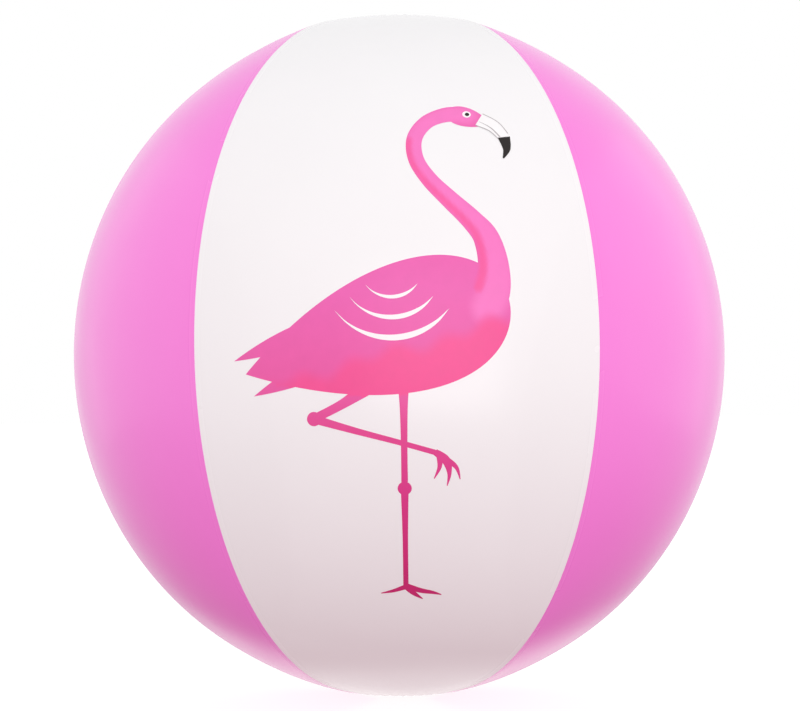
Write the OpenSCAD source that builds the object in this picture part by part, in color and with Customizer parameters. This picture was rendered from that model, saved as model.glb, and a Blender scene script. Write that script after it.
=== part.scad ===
// Inflatable beach ball: six welded panels, two end caps and a push-in valve, in millimetres.
// It stands on its lower end cap. The origin is that cap's lowest point, +Z runs up through
// both caps, and the printed white panel faces -Y.

/* [Ball] */
// Radius at the widest ring, halfway between the end caps
ball_r = 380; // [300:10:450]
// Height from the middle of the ball to an end cap
half_h = 398; // [320:1:470]
// Thickness of the PVC film
film_t = 0.3; // [0.2:0.05:0.5]
// How far the panels pull flat between their seams towards the caps: 0 is round, 1 is six-sided
ridge = 0.45; // [0:0.05:1]
// Width of film that overlaps in each welded seam
lap_w = 6; // [4:0.5:10]

/* [End caps] */
// Radius of the round cap over the panels' points
cap_r = 55; // [48:1:65]
// Thickness of a cap
cap_t = 0.4; // [0.3:0.05:0.6]
// Radius of the opening that the panels' points leave under a cap
point_r = 40; // [32:1:44]

/* [Valve seat] */
// Radius of the moulded disc that is welded to the upper cap
flange_r = 22; // [20:0.5:28]
// Thickness of that disc
flange_t = 0.8; // [0.6:0.1:1.2]
// Radius of the recess that the stem pushes into
recess_r = 11; // [10.5:0.5:12]
// Wall thickness of the soft cup that lets the stem move
collar_t = 0.6; // [0.4:0.1:0.8]
// How far the stem pulls out as the cup rolls inside out
stem_travel = 24; // [22:0.5:28]

/* [Valve stem] */
// Outer radius of the stem
stem_r = 5.6; // [5.4:0.1:6]
// Radius of the rim round the stem's mouth
rim_r = 8.5; // [8:0.1:9]
// Thickness of the rim
rim_t = 1.4; // [1:0.1:1.8]
// Radius of the bore that takes a pump nozzle
nozzle_r = 4; // [3.8:0.05:4.1]
// Radius of the wider mouth that takes the plug
mouth_r = 4.2; // [4.2:0.05:4.4]
// Depth of that mouth
mouth_d = 6; // [5.8:0.1:6.5]

/* [Plug and flap] */
// Distance from the plug's axis to the root of its strap
strap_l = 14; // [13.5:0.5:16]
// Width of the strap
strap_w = 5; // [4:0.5:6]
// Radius of the plug's head
head_r = 6.3; // [6:0.1:7]
// Thickness of the plug's head
head_t = 1.6; // [1.2:0.1:2]
// Length of the plug's tapered shank
shank_l = 5.5; // [4.5:0.1:5.5]
// Radius of the shank at its tip
tip_r = 2.9; // [2.5:0.1:2.9]
// Radius of the flap that closes the stem's inner end
flap_r = 5.1; // [4.8:0.1:5.3]
// Thickness of the flap
flap_t = 0.8; // [0.6:0.1:1]

/* [Hidden] */

pink = "#F583D2";
white = "#F7F3F4";
soft_clear = "#E9EEF1";

// Half of the angle that one panel takes of the ring
half_angle = 30;
// Space between pieces that are welded face to face
weld_gap = 0.02;
// Width of the step where a pink edge dips under its white neighbour
step_w = 0.4;
// Distance from the axis to the middle of a flattened panel, for a ring of radius 1
flat_in = 0.953;
// Latitude of the strongest ridges, and the further turn over which they fade into the cap
ridge_lat = 58;
ridge_fade = 22;
// Strips that a panel is built from: across it between its lap welds, and along it
strips = 8;
rows = 24;

mid_z = half_h + cap_t + weld_gap;
top_z = 2 * mid_z;
point_lat = acos(point_r / ball_r);
cap_lat = acos(cap_r / ball_r);

// Height of the rim's lower and upper face over the upper cap, when the stem is pushed in
rim_z = top_z + 1.3;
mouth_z = rim_z + rim_t;
// The pushed-in cup is half as deep as the stem's travel
stem_l = stem_travel / 2 + 1;
stem_z = rim_z - stem_l;
flange_gap = cap_t + 2 * weld_gap;
// Clearance between moving parts of the valve, and of the plug in its mouth
play = 0.1;
plug_play = 0.05;
strap_t = 0.8;
strap_z = mouth_z + 0.3;
strap_axis_z = strap_z + strap_t / 2;
flap_axis_x = flap_r - 0.5;
flap_axis_z = stem_z - plug_play - flap_t / 2;
cup_r = recess_r - 1.2;
cap_hole_r = recess_r + 2;
// Latitude of a ring on a cap between the panels' points and the axis
cap_mid_lat = (point_lat + 90) / 2;

// Eases from 0 to 1 as x goes from 0 to 1
function ease(x) = let (t = min(1, max(0, x))) t * t * (3 - 2 * t);
// Share of the way from a round ring to a six-sided one at a latitude
function flatness(lat) =
    ridge * pow(abs(lat) / ridge_lat, 2) * (1 - ease((abs(lat) - ridge_lat) / ridge_fade));
// Distance from the axis to the skin, turn degrees away from a panel's middle line
function skin_r(lat, turn) =
    let (t = abs(turn) > half_angle ? 2 * half_angle - abs(turn) : abs(turn))
    ball_r * cos(lat) * (1 + flatness(lat) * (flat_in / cos(t) - 1));
// Outward direction of the skin at a latitude: along the radius, and up
function out_r(lat) = cos(lat) / ball_r / norm([cos(lat) / ball_r, sin(lat) / half_h]);
function out_z(lat) = sin(lat) / half_h / norm([cos(lat) / ball_r, sin(lat) / half_h]);
// Point of the panel whose middle line is middle degrees round from -Y, at a depth under the skin
function film_point(lat, middle, turn, depth) =
    let (r = skin_r(lat, turn) - depth * out_r(lat), a = middle + turn)
    [r * sin(a), -r * cos(a), mid_z + half_h * sin(lat) - depth * out_z(lat)];
// Width on the ring at a latitude, as an angle
function as_angle(width, lat) = width / (ball_r * cos(lat)) * 180 / PI;
// Point on a round shell over the panels' points: [radius, height] at a lift over their skin
function shell_point(lat, lift) =
    [ball_r * cos(lat) + lift * out_r(lat), mid_z + half_h * sin(lat) + lift * out_z(lat)];

lats = concat(
    [-point_lat],
    [for (i = [0 : rows]) -cap_lat + 2 * cap_lat * i / rows],
    [point_lat]
);

// Columns across a panel between its lap welds: [turn, outer depth, inner depth]
function inner_columns(lat) =
    let (edge = half_angle - as_angle(lap_w, lat))
    [for (i = [0 : strips]) [edge * (2 * i / strips - 1), 0, film_t]];
// A white panel lies on top in both of its seams
function white_columns(lat) = concat(
    [[-half_angle, 0, film_t]], inner_columns(lat), [[half_angle, 0, film_t]]);
// A pink panel steps down in both of its seams and runs on under its neighbours
function pink_columns(lat) =
    let (
        under = film_t + weld_gap,
        lap = half_angle + as_angle(lap_w, lat),
        step = half_angle - as_angle(step_w, lat)
    )
    concat(
        [[-lap, under, under + film_t], [-half_angle, under, under + film_t],
         [-step, 0, under + film_t]],
        inner_columns(lat),
        [[step, 0, under + film_t], [half_angle, under, under + film_t],
         [lap, under, under + film_t]]);

// Closes two like grids of points, an outer and an inner one, into one thin shell
module film(outer, inner) {
    up = len(outer) - 1;
    across = len(outer[0]) - 1;
    wide = across + 1;
    all_points = concat([for (row = outer) each row], [for (row = inner) each row]);
    inside = len(all_points) / 2;
    function square_face(a, b, c, d) = [[a, b, c], [a, c, d]];
    polyhedron(all_points, concat(
        [for (j = [0 : up - 1], i = [0 : across - 1]) let (p = j * wide + i)
            each square_face(p, p + wide, p + wide + 1, p + 1)],
        [for (j = [0 : up - 1], i = [0 : across - 1]) let (p = inside + j * wide + i)
            each square_face(p, p + 1, p + wide + 1, p + wide)],
        [for (j = [0 : up - 1]) let (p = j * wide)
            each square_face(p, p + inside, p + inside + wide, p + wide)],
        [for (j = [0 : up - 1]) let (p = j * wide + across)
            each square_face(p, p + wide, p + inside + wide, p + inside)],
        [for (i = [0 : across - 1])
            each square_face(i, i + 1, i + inside + 1, i + inside)],
        [for (i = [0 : across - 1]) let (p = up * wide + i)
            each square_face(p, p + inside, p + inside + 1, p + 1)]
    ));
}

module white_panel(middle) {
    color(white)
        film(
            [for (lat = lats) [for (c = white_columns(lat)) film_point(lat, middle, c[0], c[1])]],
            [for (lat = lats) [for (c = white_columns(lat)) film_point(lat, middle, c[0], c[2])]]
        );
}

module pink_panel(middle) {
    color(pink)
        film(
            [for (lat = lats) [for (c = pink_columns(lat)) film_point(lat, middle, c[0], c[1])]],
            [for (lat = lats) [for (c = pink_columns(lat)) film_point(lat, middle, c[0], c[2])]]
        );
}

module panel_front_white() { white_panel(0); }
module panel_front_right_pink() { pink_panel(60); }
module panel_back_right_white() { white_panel(120); }
module panel_back_pink() { pink_panel(180); }
module panel_back_left_white() { white_panel(240); }
module panel_front_left_pink() { pink_panel(300); }

// Round sheet that lies over the panels' points, with a hole of radius hole at the axis
module cap(side, hole) {
    rings = [cap_lat, point_lat, cap_mid_lat, hole > 0 ? acos(hole / ball_r) : 90];
    translate([0, 0, mid_z]) mirror([0, 0, side > 0 ? 0 : 1]) translate([0, 0, -mid_z])
        rotate_extrude($fn = 96)
            polygon(concat(
                [for (lat = rings) shell_point(lat, weld_gap)],
                [for (i = [3 : -1 : 0]) shell_point(rings[i], weld_gap + cap_t)]
            ));
}

module cap_bottom() { color(white) cap(-1, 0); }
module cap_top() { color(white) cap(1, cap_hole_r); }

// Disc welded on the upper cap, with a rounded-down outer edge
module valve_flange() {
    outer = acos(flange_r / ball_r);
    edge = acos((flange_r - 1.2) / ball_r);
    inner = acos(recess_r / ball_r);
    color(soft_clear)
        rotate_extrude($fn = 96)
            polygon([
                shell_point(outer, flange_gap),
                shell_point(cap_mid_lat, flange_gap),
                shell_point(acos(cap_hole_r / ball_r), flange_gap),
                [recess_r, shell_point(inner, flange_gap)[1]],
                [recess_r, shell_point(inner, flange_gap + flange_t)[1]],
                shell_point(edge, flange_gap + flange_t),
                shell_point(outer, flange_gap + flange_t / 3)
            ]);
}

// Soft cup from the flange's inner edge down to the stem's inner end
module valve_collar() {
    lip_z = shell_point(acos(recess_r / ball_r), flange_gap + flange_t)[1];
    root_r = stem_r + play;
    color(soft_clear)
        rotate_extrude($fn = 64)
            polygon([
                [recess_r, lip_z],
                [recess_r, lip_z - flange_t],
                [cup_r, stem_z + 1],
                [cup_r - 1, stem_z - collar_t + 0.6],
                [root_r, stem_z - collar_t + 0.6],
                [root_r, stem_z + 0.6],
                [cup_r - 1.2, stem_z + 0.6],
                [cup_r - collar_t, stem_z + 1.2],
                [recess_r - collar_t, lip_z - flange_t],
                [recess_r - collar_t, lip_z]
            ]);
}

// Tube with a rim round its mouth and a tab that carries the plug's strap
module valve_stem() {
    color(soft_clear)
        difference() {
            union() {
                rotate_extrude($fn = 64)
                    polygon([
                        [nozzle_r, stem_z], [stem_r, stem_z], [stem_r, rim_z - 0.8],
                        [stem_r + 0.8, rim_z], [rim_r, rim_z], [rim_r, mouth_z - 0.4],
                        [rim_r - 0.4, mouth_z], [mouth_r, mouth_z],
                        [mouth_r, mouth_z - mouth_d], [nozzle_r, mouth_z - mouth_d - 0.4]
                    ]);
                translate([stem_r + 1.4, -strap_w / 2, rim_z])
                    cube([strap_l - stem_r - 1.4, strap_w, rim_t]);
                translate([strap_l, 0, rim_z])
                    cylinder(r = strap_w / 2, h = rim_t, $fn = 48);
            }
            // Keeps the tab's end flat just past the strap's root
            translate([strap_l + 0.6, -strap_w, rim_z - 1])
                cube([strap_w, 2 * strap_w, rim_t + 2]);
        }
}

// Disc that hangs under the stem's inner end and lets air in but not out, round at its hinge
module check_flap() {
    hinge_w = 2 * sqrt(flap_r * flap_r - flap_axis_x * flap_axis_x);
    color(soft_clear)
        union() {
            translate([0, 0, flap_axis_z - flap_t / 2])
                intersection() {
                    cylinder(r = flap_r, h = flap_t, $fn = 64);
                    translate([-flap_r, -flap_r, 0])
                        cube([flap_r + flap_axis_x, 2 * flap_r, flap_t]);
                }
            translate([flap_axis_x, hinge_w / 2, flap_axis_z])
                rotate([90, 0, 0])
                    cylinder(r = flap_t / 2, h = hinge_w, $fn = 32);
        }
}

// Tapered stopper with a flat head and a lip to pull it by
module plug() {
    shank_top = mouth_r - plug_play;
    color(soft_clear)
        union() {
            rotate_extrude($fn = 64)
                polygon([
                    [0, mouth_z - shank_l], [tip_r, mouth_z - shank_l], [shank_top, mouth_z],
                    [shank_top, mouth_z + play], [head_r, mouth_z + play],
                    [head_r, mouth_z + head_t - 0.4], [head_r - 0.5, mouth_z + head_t],
                    [0, mouth_z + head_t]
                ]);
            translate([-head_r - 3, 0, mouth_z + 0.4])
                cylinder(r = 2.4, h = strap_t, $fn = 48);
            translate([-head_r - 3, -2.4, mouth_z + 0.4])
                cube([4, 4.8, strap_t]);
        }
}

// Band from the plug's head to its root on the stem's tab, with a round end at the bend
module plug_strap() {
    color(soft_clear)
        union() {
            difference() {
                translate([head_r / 2, -strap_w / 2, strap_z])
                    cube([strap_l - head_r / 2, strap_w, strap_t]);
                translate([0, 0, strap_z - 1])
                    cylinder(r = head_r, h = strap_t + 2, $fn = 64);
            }
            translate([strap_l, strap_w / 2, strap_axis_z])
                rotate([90, 0, 0])
                    cylinder(r = strap_t / 2, h = strap_w, $fn = 32);
        }
}

panel_front_white();
panel_front_right_pink();
panel_back_right_white();
panel_back_pink();
panel_back_left_white();
panel_front_left_pink();
cap_bottom();
cap_top();
valve_flange();
valve_collar();
valve_stem();
check_flap();
plug();
plug_strap();
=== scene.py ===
# %% [markdown]
# # An inflatable beach ball
# A beach ball is six long leaves of thin PVC film, welded edge to edge, with a round cap over the
# points at each end and a soft valve in one of them. Air does the rest: it pulls the flat leaves
# into a ball. This notebook dresses the CAD model of such a ball. The CAD model says where every
# piece is and how the valve moves, so each step here starts from its boxes and never moves it.

import itertools
import math

import bmesh
import bpy
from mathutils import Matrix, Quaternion, Vector
from mathutils.geometry import delaunay_2d_cdt


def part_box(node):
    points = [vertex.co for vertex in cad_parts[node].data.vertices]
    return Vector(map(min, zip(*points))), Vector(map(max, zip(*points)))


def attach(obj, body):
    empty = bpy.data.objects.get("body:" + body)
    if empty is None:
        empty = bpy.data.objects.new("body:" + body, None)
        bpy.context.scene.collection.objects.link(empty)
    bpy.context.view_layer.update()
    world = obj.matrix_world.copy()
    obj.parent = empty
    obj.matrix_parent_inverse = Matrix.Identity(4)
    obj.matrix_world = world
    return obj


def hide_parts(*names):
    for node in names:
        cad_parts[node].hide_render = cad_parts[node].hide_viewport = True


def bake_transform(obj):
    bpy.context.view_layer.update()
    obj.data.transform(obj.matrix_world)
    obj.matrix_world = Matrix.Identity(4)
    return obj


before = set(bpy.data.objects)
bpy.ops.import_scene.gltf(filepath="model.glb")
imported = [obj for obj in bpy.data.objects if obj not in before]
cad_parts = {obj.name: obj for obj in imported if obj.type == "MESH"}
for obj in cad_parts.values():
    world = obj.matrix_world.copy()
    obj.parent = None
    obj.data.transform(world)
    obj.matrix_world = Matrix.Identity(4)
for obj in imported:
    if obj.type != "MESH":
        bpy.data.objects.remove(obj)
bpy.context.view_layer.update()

# %% [markdown]
# ## Sizes
# The driving sizes come out of the frame. The front panel's box gives the ball's radius and the
# height of its widest ring. The film, the caps and the ridges repeat the design's own values,
# because a box can't show them. Everything is in metres, so `MM` keeps small sizes readable.

# %% Sizes of the ball
MM = 0.001
FILM = 0.3 * MM
CAP = 0.4 * MM
WELD_GAP = 0.02 * MM
HALF_PANEL = math.radians(30)
RIDGE = 0.45
RIDGE_LAT = math.radians(58)
RIDGE_FADE = math.radians(22)
FLAT_IN = 0.953

front_low, front_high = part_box("panel_front_white")
ball_r = -front_low.y
mid_z = (front_low.z + front_high.z) / 2
half_h = mid_z - CAP - WELD_GAP
arc_r = (ball_r + half_h) / 2
point_lat = math.acos(40 * MM / ball_r)
print(f"radius {ball_r:.4f} m, widest ring at {mid_z:.4f} m, half height {half_h:.4f} m")

# %% [markdown]
# ## Camera
# The camera stands a little below the ball's middle, about 1.46 m away, which is close for a ball
# of this size. That is why the seams seem to bulge outwards.

# %% Camera
CAMERA_AWAY = 3.85 * ball_r
CAMERA_SIDE = math.radians(0.39)
CAMERA_BELOW = math.radians(2.65)
CAMERA_ROLL = math.radians(-0.64)
AIM_OFF = Vector((0.85, 0, -0.85)) * MM

camera_data = bpy.data.cameras.new("camera")
camera_data.sensor_width = 36
camera_data.lens = 54.45
camera = bpy.data.objects.new("camera", camera_data)
bpy.context.scene.collection.objects.link(camera)
bpy.context.scene.camera = camera

middle = Vector((0, 0, mid_z))
to_camera = Vector((
    math.sin(CAMERA_SIDE) * math.cos(CAMERA_BELOW),
    -math.cos(CAMERA_SIDE) * math.cos(CAMERA_BELOW),
    -math.sin(CAMERA_BELOW),
))
camera.location = middle + to_camera * CAMERA_AWAY
camera.rotation_mode = "QUATERNION"
look = (middle + AIM_OFF - camera.location).to_track_quat("-Z", "Y")
camera.rotation_quaternion = look @ Quaternion((0, 0, 1), CAMERA_ROLL)
print("camera at", [round(v, 3) for v in camera.location])


# %% [markdown]
# ## Helpers for node trees
# Materials and Geometry Nodes are both node trees, so one function adds a node to either. What goes
# into the node is a dictionary by input name, or a list for the first inputs in their order. A value
# may be a number, a socket, or another node, whose first output is then used. So a Map Range takes
# its value, the range that comes from, and the range it goes to. Colours are given as sRGB hex
# values, and one function turns them to the renderer's linear light.

# %% Node and colour helpers
MATH = "ShaderNodeMath"


def fill(node, inputs):
    """Fills a node's inputs, by name or in order, with values or links."""
    for key, value in inputs.items() if isinstance(inputs, dict) else enumerate(inputs):
        if isinstance(value, bpy.types.Node):
            value = value.outputs[0]
        if isinstance(value, bpy.types.NodeSocket):
            node.id_data.links.new(value, node.inputs[key])
        else:
            node.inputs[key].default_value = value


def add(tree, kind, inputs=(), **settings):
    """Adds a node of a kind, with its settings and inputs."""
    node = tree.nodes.new(kind)
    for name, value in settings.items():
        setattr(node, name, value)
    fill(node, inputs)
    return node


def linear(hex_code):
    """Linear red, green, blue and alpha of an sRGB hex colour."""
    parts = [int(hex_code[i:i + 2], 16) / 255 for i in (1, 3, 5)]
    return [p / 12.92 if p <= 0.04045 else ((p + 0.055) / 1.055) ** 2.4 for p in parts] + [1]


def new_material(name):
    """A new material, its tree, its Principled shader and a socket with the place on the piece."""
    material = bpy.data.materials.new(name)
    material.use_nodes = True
    tree = material.node_tree
    where = add(tree, "ShaderNodeTexCoord").outputs["Object"]
    return material, tree, tree.nodes["Principled BSDF"], where


def colour_stops(ramp, stops):
    """Gives a colour ramp its (position, colour) stops. The first is at 0."""
    elements = ramp.color_ramp.elements
    elements.remove(elements[-1])
    elements[0].color = stops[0][1]
    for position, colour in stops[1:]:
        elements.new(position).color = colour


print("mid grey", [round(v, 3) for v in linear("#808080")])

# %% [markdown]
# ## Film
# The panels are calendered soft PVC: squeezed between polished rollers to 0.3 mm, dyed in the mass.
# To the eye it is smooth and softly glossy, with a faint cloudiness from the dye and a very fine
# leather-like grain from the rollers. PVC has an index of refraction near 1.53. Along each edge runs
# the weld, 6 mm wide, where the electrode has pressed fine ribs into the film.
#
# The pattern could be painted in an image, but it then has a fixed sharpness. Noise in the shader
# works at any distance. The weld follows the seam, so it reads the panel's own attribute, which the
# panel's node tree writes: across, along and distance to the seam, in metres.

# %% PVC film
CLOUD = 90 * MM
GRAIN = 1.4 * MM          # the real grain is about 0.2 mm and would not show
RIB_PITCH = 1.5 * MM
WELD_W = 6 * MM


def pvc_film(name, base, cloud):
    """Dyed PVC film: its colour, and the colour of the dye's thicker clouds."""
    material, tree, shader, where = new_material(name)
    clouds = add(tree, "ShaderNodeTexNoise", {"Vector": where, "Scale": 1 / CLOUD, "Detail": 3})
    dye = add(tree, "ShaderNodeMix", {0: clouds, 6: linear(base), 7: linear(cloud)},
              data_type="RGBA")

    place = add(tree, "ShaderNodeAttribute", attribute_name="panel_place").outputs["Vector"]
    panel = add(tree, "ShaderNodeSeparateXYZ", [place])
    weld = add(tree, "ShaderNodeMapRange", [panel.outputs["Z"], WELD_W, WELD_W + 0.6 * MM, 1, 0])
    gloss = add(tree, "ShaderNodeMapRange", [clouds, 0.3, 0.7, 0.2, 0.26])
    dull = add(tree, MATH, [weld, 0.06, gloss], operation="MULTIPLY_ADD")

    turns = add(tree, MATH, [panel.outputs["Y"], 2 * math.pi / RIB_PITCH],
                operation="MULTIPLY")
    wave = add(tree, MATH, [turns], operation="SINE")
    ribs = add(tree, MATH, [wave, weld], operation="MULTIPLY")
    grain = add(tree, "ShaderNodeTexNoise", {"Vector": where, "Scale": 1 / GRAIN, "Detail": 2})
    height = add(tree, MATH, [ribs, 0.4, grain], operation="MULTIPLY_ADD")
    bump = add(tree, "ShaderNodeBump", {"Height": height, "Strength": 0.12, "Distance": 0.1 * MM})
    fill(shader, {"Base Color": dye.outputs[2], "Roughness": dull, "Normal": bump, "IOR": 1.53})
    return material


white_film = pvc_film("white calendered PVC film", "#F5F3F4", "#F2F0F1")
pink_film = pvc_film("pink calendered PVC film", "#F982DD", "#F67DD9")
print("film:", white_film.name, "and", pink_film.name)

# %% [markdown]
# ## Ink
# The bird is screen-printed on the white film with vinyl ink, one pass per colour. Each pass leaves
# a film of ink about a hundredth of a millimetre thick, as glossy as the PVC under it. The ink sheets
# below are a little thicker than that, so that they stay clear of each other. The pink isn't flat: it
# deepens to magenta down the legs, is lighter on the neck and chest, and coral is worked in under
# the belly. The sheets carry those tones in attributes: where the ink is on the panel, in metres,
# and how much coral and how much orchid it holds.

# %% Screen-printing inks


def vinyl_ink(name, base):
    """A flat pass of vinyl ink, slightly uneven from the screen's mesh."""
    material, tree, shader, where = new_material(name)
    patches = add(tree, "ShaderNodeTexNoise", {"Vector": where, "Scale": 1 / (12 * MM)})
    gloss = add(tree, "ShaderNodeMapRange", {"Value": patches, "To Min": 0.27, "To Max": 0.4})
    weight = add(tree, "ShaderNodeMapRange", {"Value": patches, "To Min": 0.96, "To Max": 1.03})
    colour = add(tree, "ShaderNodeHueSaturation", {"Color": linear(base), "Value": weight})
    fill(shader, {"Base Color": colour, "Roughness": gloss, "IOR": 1.5, "Specular IOR Level": 0.35})
    return material, tree, colour


def blended_ink(name):
    """Pink ink whose tone follows the leg's height and the sheet's coral and orchid attributes."""
    material, tree, colour = vinyl_ink(name, "#FFFFFF")
    place = add(tree, "ShaderNodeAttribute", attribute_name="ink_place").outputs["Vector"]
    up = add(tree, "ShaderNodeSeparateXYZ", [place]).outputs["Y"]
    lowest, highest = LEG_TONES[0][0], LEG_TONES[-1][0]
    level = add(tree, "ShaderNodeMapRange", [up, lowest * MM, highest * MM])
    ramp = add(tree, "ShaderNodeValToRGB", [level])
    colour_stops(ramp, [((height - lowest) / (highest - lowest), linear(tone))
                        for height, tone in LEG_TONES])
    mixed = ramp.outputs[0]
    for attribute, tone in (("orchid", "#F579C3"), ("coral", "#F45294")):
        amount = add(tree, "ShaderNodeAttribute", attribute_name=attribute).outputs["Fac"]
        mix = add(tree, "ShaderNodeMix", {0: amount, 6: mixed, 7: linear(tone)}, data_type="RGBA")
        mixed = mix.outputs[2]
    fill(colour, {"Color": mixed})
    return material


# Height on the panel in millimetres, and the pink ink's tone there
LEG_TONES = [(-258, "#C8246E"), (-200, "#D22F7A"), (-140, "#DC3D8B"), (-85, "#E44B93"),
             (-45, "#EA5CA6"), (40, "#EA63B2"), (250, "#EB60AB")]
pink_ink = blended_ink("pink vinyl ink")
white_ink = vinyl_ink("white vinyl ink", "#F8F5F6")[0]
grey_ink = vinyl_ink("grey vinyl ink", "#B8B2B4")[0]
black_ink = vinyl_ink("black vinyl ink", "#1E1415")[0]
print("inks:", ", ".join(m.name for m in (pink_ink, white_ink, grey_ink, black_ink)))

# %% [markdown]
# ## Valve plastic
# The valve is injection-moulded from very soft, almost clear PVC, so that the collar can roll inside
# out and the plug can be pinched shut. It is milky rather than clear, because it is thick and the
# mould is finely blasted. A little subsurface light gives that milkiness.

# %% Moulded soft PVC
def soft_pvc(name):
    """Milky soft PVC with the fine blasted surface of its mould."""
    material, tree, shader, where = new_material(name)
    flow = add(tree, "ShaderNodeTexNoise", {"Vector": where, "Scale": 1 / (4 * MM), "Detail": 2})
    body = add(tree, "ShaderNodeMix", {0: flow, 6: linear("#E3E9EC"), 7: linear("#F0F3F4")},
               data_type="RGBA")
    gloss = add(tree, "ShaderNodeMapRange", {"Value": flow, "To Min": 0.24, "To Max": 0.4})
    blast = add(tree, "ShaderNodeTexNoise", {"Vector": where, "Scale": 1 / (0.3 * MM)})
    bump = add(tree, "ShaderNodeBump", {"Height": blast, "Strength": 0.2, "Distance": 0.03 * MM})
    fill(shader, {
        "Base Color": body.outputs[2], "Roughness": gloss, "Normal": bump, "IOR": 1.52,
        "Subsurface Weight": 0.3, "Subsurface Radius": (1.2 * MM, 1.3 * MM, 1.4 * MM),
        "Subsurface Scale": 1})
    return material


valve_pvc = soft_pvc("moulded soft PVC")
print("valve:", valve_pvc.name)

# %% [markdown]
# ## Turning meshes into pieces
# Each piece ends the same way: smooth shading with its true corners kept sharp, a material, the CAD
# body it moves with, and the CAD node it takes the place of.

# %% Piece helper


def piece(mesh, name, material, body, node=None, sharp=35):
    """Makes a finished piece from a mesh that is already in place. A bending piece has no body."""
    mesh.name = name
    mesh.materials.clear()
    mesh.materials.append(material)
    mesh.shade_smooth()
    mesh.set_sharp_from_angle(angle=math.radians(sharp))
    made = bpy.data.objects.new(name, mesh)
    bpy.context.scene.collection.objects.link(made)
    if body:
        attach(made, body)
    if node:
        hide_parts(node)
    return made


def geometry_tree(name, inputs, result):
    """A Geometry Nodes tree with named inputs, (name, socket type, value), and one result."""
    tree = bpy.data.node_groups.new(name, "GeometryNodeTree")
    for label, kind, value in inputs:
        socket = tree.interface.new_socket(label, in_out="INPUT", socket_type="NodeSocket" + kind)
        if value is not None:
            socket.default_value = value
    tree.interface.new_socket(result[0], in_out="OUTPUT", socket_type="NodeSocket" + result[1])
    return tree, add(tree, "NodeGroupInput").outputs


def finished(tree, geometry, material):
    """Ends a geometry tree: instances made real, a material, and the output."""
    real = add(tree, "GeometryNodeRealizeInstances", [geometry])
    dressed = add(tree, "GeometryNodeSetMaterial", {"Geometry": real, "Material": material})
    add(tree, "NodeGroupOutput", [dressed])
    return tree


def grown(tree, values, source=None):
    """Runs a geometry tree with some inputs changed, and returns the result as a plain mesh."""
    start = source or bpy.data.meshes.new("start")
    holder = bpy.data.objects.new("holder", start)
    bpy.context.scene.collection.objects.link(holder)
    nodes = holder.modifiers.new("nodes", "NODES")
    nodes.node_group = tree
    for item in tree.interface.items_tree:
        if item.in_out == "INPUT" and item.name in values:
            nodes[item.identifier] = values[item.name]
    view = bpy.context.evaluated_depsgraph_get()
    view.update()
    mesh = bpy.data.meshes.new_from_object(holder.evaluated_get(view), depsgraph=view)
    holder.modifiers.clear()
    bpy.data.objects.remove(holder)
    return mesh


print("helpers ready")

# %% [markdown]
# ## The rule of the skin
# Blown up, a welded ball isn't round everywhere. In the middle the film stretches evenly, and a ring
# is a circle. Towards the caps the leaves pull flat between their seams, so that the seams stand up
# as six low ridges. That is a rule, so it is one node group: given a latitude, a turn from the
# panel's middle line and a depth under the skin, it returns the place. The panels, the ink and the
# seams all use it, and so they can't drift apart. A sculpted mesh would look the same, but every
# change of the ball's size would mean sculpting it again.

# %% Skin rule as a node group
BALL_SIZES = [
    ("Radius", "Float", ball_r), ("Half height", "Float", half_h),
    ("Middle height", "Float", mid_z), ("Ridge", "Float", RIDGE),
]
SIZE_NAMES = [name for name, _, _ in BALL_SIZES]


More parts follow.
